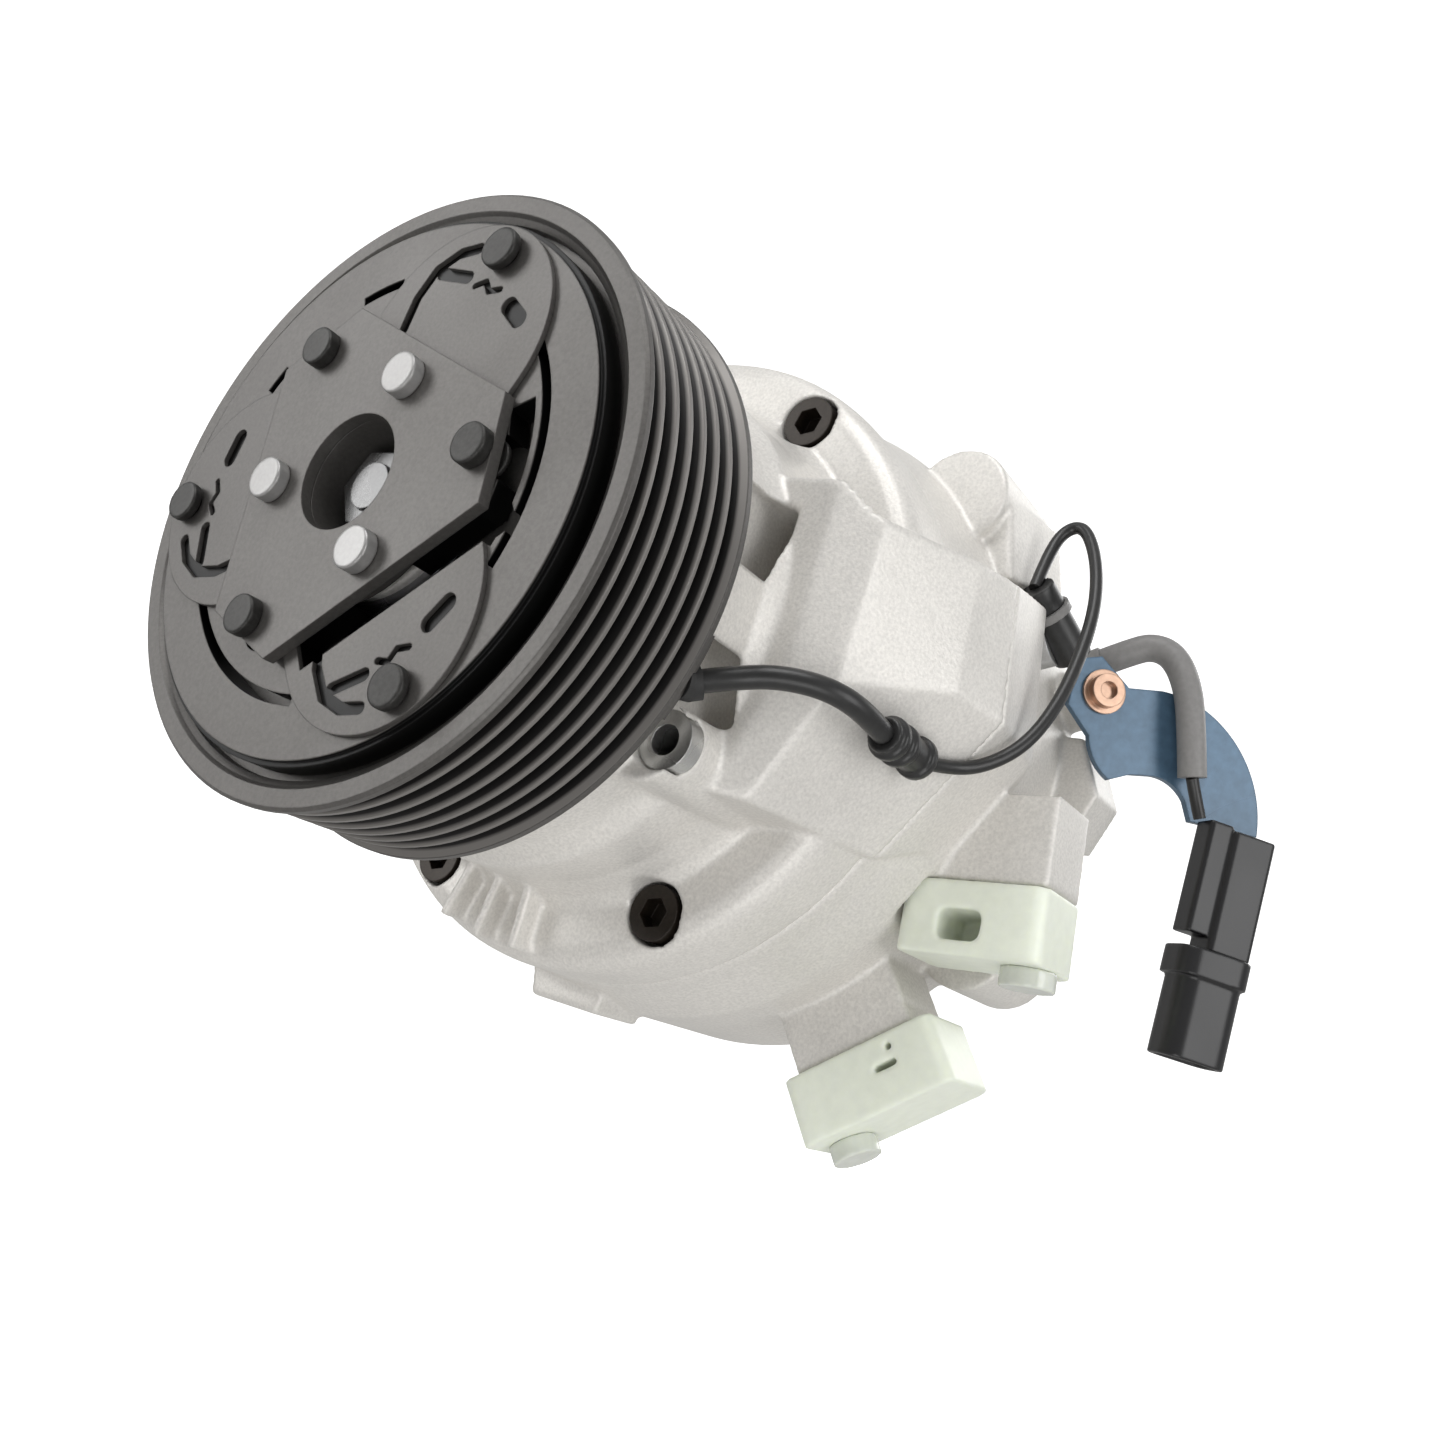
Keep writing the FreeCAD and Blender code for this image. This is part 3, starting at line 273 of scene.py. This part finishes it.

# The clutch's coated steel: painted shade and painted highlights in its belt grooves, and painted shade under
# the spring sheet's tongues over the armature
GROOVE_ROOT_R = 48.9 * MM
CREST_R = 51.4 * MM
GROOVED_FROM_R = 48.5 * MM
GROOVED_HALF_WIDTH = 12.4 * MM
ARMATURE_RECESS_Y = (-1.9 - BELT_Y) * MM
RECESS_FADE = 0.2 * MM
TONGUE_DEG = 68.4
TONGUE_CENTRE_R = 26.0 * MM
TONGUE_HALF_WIDTH = 19.2 * MM


def under_tongues(ns, ls, x, z):
    """1 where the spring sheet's three tongues cover the armature, and 0 elsewhere: the mask of the painted
    shade under the tongues.
    """
    covered = 0.0
    for k in range(3):
        a = math.radians(TONGUE_DEG + THIRD_DEG * k)
        x_cos = calc(ns, ls, "MULTIPLY", x, math.cos(a))
        z_sin = calc(ns, ls, "MULTIPLY", z, math.sin(a))
        x_sin = calc(ns, ls, "MULTIPLY", x, math.sin(a))
        z_cos = calc(ns, ls, "MULTIPLY", z, math.cos(a))
        along = calc(ns, ls, "ADD", x_cos, z_sin)
        aside = calc(ns, ls, "SUBTRACT", z_cos, x_sin)
        past = calc(ns, ls, "MAXIMUM", calc(ns, ls, "SUBTRACT", along, TONGUE_CENTRE_R), 0.0)
        past_squared = calc(ns, ls, "MULTIPLY", past, past)
        aside_squared = calc(ns, ls, "MULTIPLY", aside, aside)
        distance_squared = calc(ns, ls, "ADD", past_squared, aside_squared)
        near = calc(ns, ls, "LESS_THAN", distance_squared, TONGUE_HALF_WIDTH ** 2)
        outward = calc(ns, ls, "GREATER_THAN", along, 0.0)
        inside = calc(ns, ls, "MULTIPLY", near, outward)
        covered = calc(ns, ls, "MAXIMUM", covered, inside)
    return covered


def dark_steel(name, recess_from=None):
    """The coated steel of the clutch: satin, with turned rings on the flat faces, painted shade on its groove
    flanks and a painted highlight on its groove crests.
    With recess_from, a place along the shaft, it has painted shade, nearly black, behind there and under the
    tongues.
    That painted shade stands in for depth: the CAD disc's slots there are closed pockets behind its face."""
    m, ns, ls, sh = tree(name)
    coord = ns.new("ShaderNodeTexCoord").outputs["Object"]
    sep = ns.new("ShaderNodeSeparateXYZ")
    ls.new(coord, sep.inputs[0])
    flat = ns.new("ShaderNodeCombineXYZ")
    ls.new(sep.outputs["X"], flat.inputs["X"])
    ls.new(sep.outputs["Z"], flat.inputs["Y"])
    length = ns.new("ShaderNodeVectorMath")
    length.operation = "LENGTH"
    ls.new(flat.outputs[0], length.inputs[0])
    radius = length.outputs["Value"]
    rings = ns.new("ShaderNodeTexNoise")
    rings.noise_dimensions = "1D"
    rings.inputs["Scale"].default_value = RING_SCALE
    rings.inputs["Detail"].default_value = WIDE_DETAIL
    ls.new(radius, rings.inputs["W"])
    fine = noise(ns, ls, coord, STEEL_GRAIN)
    wide = noise(ns, ls, coord, STEEL_BLOTCH, WIDE_DETAIL)
    tint = ramp(ns, ls, fine, [(0.3, (0.098, 0.093, 0.088)), (0.7, (0.122, 0.116, 0.110))])
    soft = ramp(ns, ls, wide, [(0.3, (0.84, 0.84, 0.84)), (0.7, WHITE)])
    base = mix(ns, ls, 1.0, tint, soft, "MULTIPLY")
    # Painted shade makes the groove flanks nearly black, and a painted highlight lightens the crests.
    y = sep.outputs["Y"]
    from_belt_plane = calc(ns, ls, "ABSOLUTE", y, 0.0)
    in_band = calc(ns, ls, "LESS_THAN", from_belt_plane, GROOVED_HALF_WIDTH)
    far_out = calc(ns, ls, "GREATER_THAN", radius, GROOVED_FROM_R)
    groove = calc(ns, ls, "MULTIPLY", in_band, far_out)
    shade = ramp(ns, ls, span(ns, ls, radius, GROOVE_ROOT_R, CREST_R, 0.0, 1.0),
                 [(0.0, (0.004, 0.004, 0.004)), (0.72, (0.012, 0.011, 0.011)), (0.93, (0.20, 0.19, 0.18))])
    final = mix(ns, ls, groove, base, shade)
    if recess_from is not None:
        depth = span(ns, ls, y, recess_from, recess_from + RECESS_FADE, 0.0, 1.0)
        # Painted shade: nearly black on the armature behind its front face.
        painted_recess_shade = ramp(ns, ls, depth, [(0.0, WHITE), (1.0, (0.02, 0.02, 0.02))])
        final = mix(ns, ls, 1.0, final, painted_recess_shade, "MULTIPLY")
        covered = under_tongues(ns, ls, sep.outputs["X"], sep.outputs["Z"])
        # Painted shade: nearly black where the tongues cover the armature, seen through the sheet's slots.
        painted_tongue_shade = ramp(ns, ls, covered, [(0.0, WHITE), (1.0, (0.03, 0.03, 0.03))])
        final = mix(ns, ls, 1.0, final, painted_tongue_shade, "MULTIPLY")
    ls.new(final, sh.inputs["Base Color"])
    ls.new(span(ns, ls, wide, 0.3, 0.7, 0.36, 0.46), sh.inputs["Roughness"])
    sh.inputs["Metallic"].default_value = 0.55
    height = calc(ns, ls, "ADD", rings.outputs["Fac"], fine)
    bump(ns, ls, sh, height, strength=0.10, distance=0.00006, edge=0.0003)
    return m


LOOK["black_steel"] = dark_steel("black_steel")
# The armature's steel, with painted shade in its recesses and under the spring sheet's tongues.
LOOK["armature_painted_shade_steel"] = dark_steel("black_steel_painted_shade", ARMATURE_RECESS_Y)
SPECIAL_LOOKS = {
    "armature_disc": "armature_painted_shade_steel",
    # The shaft's nut, washer and end take steel painted dark as the shade inside the hub's hole.
    "shaft_nut": "hole_shade_steel",
    "shaft_washer": "hole_shade_steel",
    "crankshaft": "hole_shade_steel",
}

body_of = {
    node: body for body, members in frame["record"]["behaviour"]["bodies"].items() for node in members
}
slot_of = {part["node"]: part["material_slot"] for part in frame["record"]["subparts"]}
for name, o in nodes.items():
    o.data.materials.clear()
    o.data.materials.append(LOOK[SPECIAL_LOOKS.get(name, slot_of[name])])


def keep(o, body, slot):
    """Link a new piece, let it ride and give it its finish."""
    if o.name not in bpy.context.scene.collection.objects:
        bpy.context.scene.collection.objects.link(o)
    o.data.materials.clear()
    o.data.materials.append(LOOK[slot])
    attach(o, body)
    return o


# ------------------------------------------------------------------ leads
LEAD_ROUNDNESS = 5
LEAD_STEPS = 12


def lead(name, points, diameter, node, slot="lead_rubber"):
    """A smooth lead through the CAD route's points."""
    curve = bpy.data.curves.new(name, "CURVE")
    curve.dimensions = "3D"
    curve.bevel_depth = diameter / 2 * MM
    curve.bevel_resolution = LEAD_ROUNDNESS
    curve.use_fill_caps = True
    line = curve.splines.new("NURBS")
    line.points.add(len(points) - 1)
    for p, xyz in zip(line.points, points):
        p.co = (*at(*xyz), 1.0)
    line.order_u = 3
    line.use_endpoint_u = True
    line.resolution_u = LEAD_STEPS
    o = bpy.data.objects.new(name, curve)
    keep(o, "housing", slot)
    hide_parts(node)
    return o


COIL_ROUTE = [
    (46.6, 34.0, -14.2), (50.2, 37.6, -11.8), (56.0, 40.2, -10.0),
    (62.2, 44.0, -9.6), (66.0, 50.0, -10.6), (66.4, 57.0, -12.0),
]
SWITCH_ROUTE = [
    (66.4, 71.0, -12.0), (68.6, 77.0, -11.0), (72.6, 81.6, -8.4), (76.6, 86.0, -2.6), (78.2, 90.6, 6.5),
    (78.0, 95.0, 17.0), (76.5, 99.5, 29.0), (72.6, 103.0, 40.0), (67.5, 105.4, 47.6), (63.6, 105.0, 46.0),
    (62.8, 102.8, 39.0), (63.5, 100.0, 31.8),
]
SHEATH_ROUTE = [
    (68.4, 128.4, 28.6), (72.6, 128.6, 31.0), (77.0, 129.6, 33.4), (81.6, 130.6, 32.0),
    (85.6, 131.0, 25.6), (88.0, 131.6, 16.8), (89.4, 133.6, 8.8),
]
coil_lead = lead("coil_lead_smooth", COIL_ROUTE, 3.8, "coil_lead")
switch_lead = lead("switch_lead_smooth", SWITCH_ROUTE, 2.4, "switch_lead")
sheath = lead("connector_sheath_smooth", SHEATH_ROUTE, 5.6, "connector_sheath", "grey_rubber")

# ------------------------------------------------------------------ castings with soft edges
MERGE_DISTANCE = 1e-7
SMOOTHING = 0.5

# Cap B's slit shows as two marks: this plug, in the cap's own axes and millimetres, parts them.
PORT_B = (46.2, 114.0, -57.4)
PORT_B_ALONG = Vector((0.78, 0.0, 0.62)).normalized()
PORT_B_OUT = Vector((0.62, 0.0, -0.78)).normalized()
SLIT_PLUG = ((7.6, 9.6), (104.6, 111.0), (6.9, 8.5))


def slit_plug(bm):
    """Fill the middle of cap B's slit."""
    corners = []
    for along, y, out in itertools.product(*SLIT_PLUG):
        p = Vector((PORT_B[0], y, PORT_B[2])) + PORT_B_ALONG * along + PORT_B_OUT * out
        corners.append(bm.verts.new(at(*p)))
    made = bmesh.ops.convex_hull(bm, input=corners)
    hull = [g for g in made["geom"] if isinstance(g, bmesh.types.BMFace)]
    bmesh.ops.recalc_face_normals(bm, faces=hull)


def soft_skin(node, voxel, rounds):
    """A copy of a CAD node with softly rounded edges, as a cast or moulded piece has."""
    mesh = nodes[node].data.copy()
    o = bpy.data.objects.new(node + "_skin", mesh)
    bpy.context.scene.collection.objects.link(o)
    bm = bmesh.new()
    bm.from_mesh(mesh)
    bmesh.ops.remove_doubles(bm, verts=bm.verts, dist=MERGE_DISTANCE)
    if node == "port_cap_b":
        slit_plug(bm)
    bm.to_mesh(mesh)
    bm.free()
    remesh = o.modifiers.new("skin", "REMESH")
    remesh.mode = "VOXEL"
    remesh.voxel_size = voxel
    remesh.use_smooth_shade = True
    smooth = o.modifiers.new("soft", "SMOOTH")
    smooth.factor = SMOOTHING
    smooth.iterations = rounds
    bpy.context.view_layer.update()
    done = bpy.data.meshes.new_from_object(o.evaluated_get(bpy.context.evaluated_depsgraph_get()))
    o.modifiers.clear()
    o.data = done
    for p in done.polygons:
        p.use_smooth = True
    keep(o, body_of[node], slot_of[node])
    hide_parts(node)


# Each piece's voxel size and rounds of smoothing
SOFT_NODES = {
    "front_housing": (0.00055, 6),
    "rear_housing": (0.00055, 6),
    "port_cap_a": (0.0004, 7),
    "port_cap_b": (0.0004, 7),
    "cap_screw_a": (0.0003, 5),
    "cap_screw_b": (0.0003, 5),
    "hub_rivets": (0.0002, 8),
    "spring_rivets": (0.0002, 8),
    "armature_rivets": (0.0002, 8),
    "connector_housing": (0.0003, 4),
    "connector_shell": (0.0003, 4),
    "lead_splice": (0.0003, 4),
    "switch_boot": (0.0003, 4),
}
for name, (voxel, rounds) in SOFT_NODES.items():
    soft_skin(name, voxel, rounds)

# ------------------------------------------------------------------ floor, light and backdrop
FLOOR_DROP = 0.012
INNER_RINGS = (0.15, 0.4)
FLAT_R = 0.9
SWEEP_R = 0.8
SWEEP_STEPS = 12
WALL_TOP = 3.0
SIDES = 96


def sweep_profile():
    """The backdrop's profile from its middle outwards: flat, then curving up into a wall."""
    points = [(r, 0.0) for r in (0.0, *INNER_RINGS, FLAT_R)]
    for k in range(1, SWEEP_STEPS + 1):
        a = math.pi / 2 * k / SWEEP_STEPS
        points.append((FLAT_R + SWEEP_R * math.sin(a), SWEEP_R * (1 - math.cos(a))))
    points.append((FLAT_R + SWEEP_R, WALL_TOP))
    return points


def sweep_mesh(floor_z):
    """The profile turned round the vertical axis."""
    profile = sweep_profile()
    verts = [(0.0, 0.0, floor_z)]
    for r, h in profile[1:]:
        for k in range(SIDES):
            a = 2 * math.pi * k / SIDES
            verts.append((r * math.cos(a), r * math.sin(a), floor_z + h))
    faces = [(0, 1 + k, 1 + (k + 1) % SIDES) for k in range(SIDES)]
    for i in range(len(profile) - 2):
        low = 1 + i * SIDES
        for k in range(SIDES):
            n = (k + 1) % SIDES
            faces.append((low + k, low + SIDES + k, low + SIDES + n, low + n))
    mesh = bpy.data.meshes.new("sweep")
    mesh.from_pydata(verts, [], faces)
    for face in mesh.polygons:
        face.use_smooth = True
    return mesh


def pale_floor():
    """A matt white that glows a little, so that it stays even all round."""
    m, ns, ls, sh = tree("pale_floor")
    grain = noise(ns, ls, ns.new("ShaderNodeTexCoord").outputs["Object"], 3.0)
    colour = ramp(ns, ls, grain, [(0.3, (0.90, 0.90, 0.90)), (0.7, (0.93, 0.93, 0.93))])
    ls.new(colour, sh.inputs["Base Color"])
    sh.inputs["Roughness"].default_value = 0.9
    sh.inputs["Specular IOR Level"].default_value = 0.0
    sh.inputs["Emission Color"].default_value = OPAQUE_WHITE
    sh.inputs["Emission Strength"].default_value = 0.72
    return m


floor = bpy.data.objects.new("sweep", sweep_mesh(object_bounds()[0][2] - FLOOR_DROP))
floor.data.materials.append(pale_floor())
# The surroundings and the lights reach the object as if the sweep weren't there.
floor.visible_diffuse = False
floor.visible_glossy = False
floor.visible_shadow = False
bpy.context.scene.collection.objects.link(floor)

# The surroundings' brightness by height, from straight down to straight up
SURROUNDINGS = [
    (0.0, (1.0, 0.99, 0.97)),
    (0.42, (0.62, 0.615, 0.61)),
    (0.62, (0.62, 0.62, 0.62)),
    (1.0, (0.92, 0.92, 0.92)),
]
SURROUNDINGS_STRENGTH = 0.72


def light_surroundings():
    """Soft light from all round: a little stronger from above and below than from the sides."""
    world = bpy.data.worlds.new("studio")
    bpy.context.scene.world = world
    world.use_nodes = True
    ns, ls = world.node_tree.nodes, world.node_tree.links
    parts = ns.new("ShaderNodeSeparateXYZ")
    ls.new(ns.new("ShaderNodeTexCoord").outputs["Generated"], parts.inputs[0])
    height = span(ns, ls, parts.outputs["Z"], -1.0, 1.0, 0.0, 1.0)
    ls.new(ramp(ns, ls, height, SURROUNDINGS), ns["Background"].inputs["Color"])
    ns["Background"].inputs["Strength"].default_value = SURROUNDINGS_STRENGTH


light_surroundings()
LIT_POINT = Vector((0.01, 0.05, 0.0))


def softbox(name, place, size, power):
    """A rectangular light that faces the object."""
    data = bpy.data.lights.new(name, "AREA")
    data.shape = "RECTANGLE"
    data.size, data.size_y = size
    data.energy = power
    o = bpy.data.objects.new(name, data)
    o.location = place
    o.rotation_euler = (LIT_POINT - Vector(place)).to_track_quat("-Z", "Y").to_euler()
    bpy.context.scene.collection.objects.link(o)


softbox("key", place=(0.05, -0.45, 0.75), size=(0.45, 0.45), power=3.3)
softbox("fill", place=(0.75, -0.05, 0.05), size=(0.35, 0.5), power=1.9)
softbox("left", place=(-0.55, -0.50, 0.20), size=(0.3, 0.6), power=2.2)
softbox("low", place=(0.45, -0.50, -0.50), size=(0.4, 0.4), power=1.7)
softbox("rear", place=(0.15, 0.85, 0.40), size=(0.6, 0.5), power=2.4)

bpy.context.scene.view_settings.view_transform = "Standard"
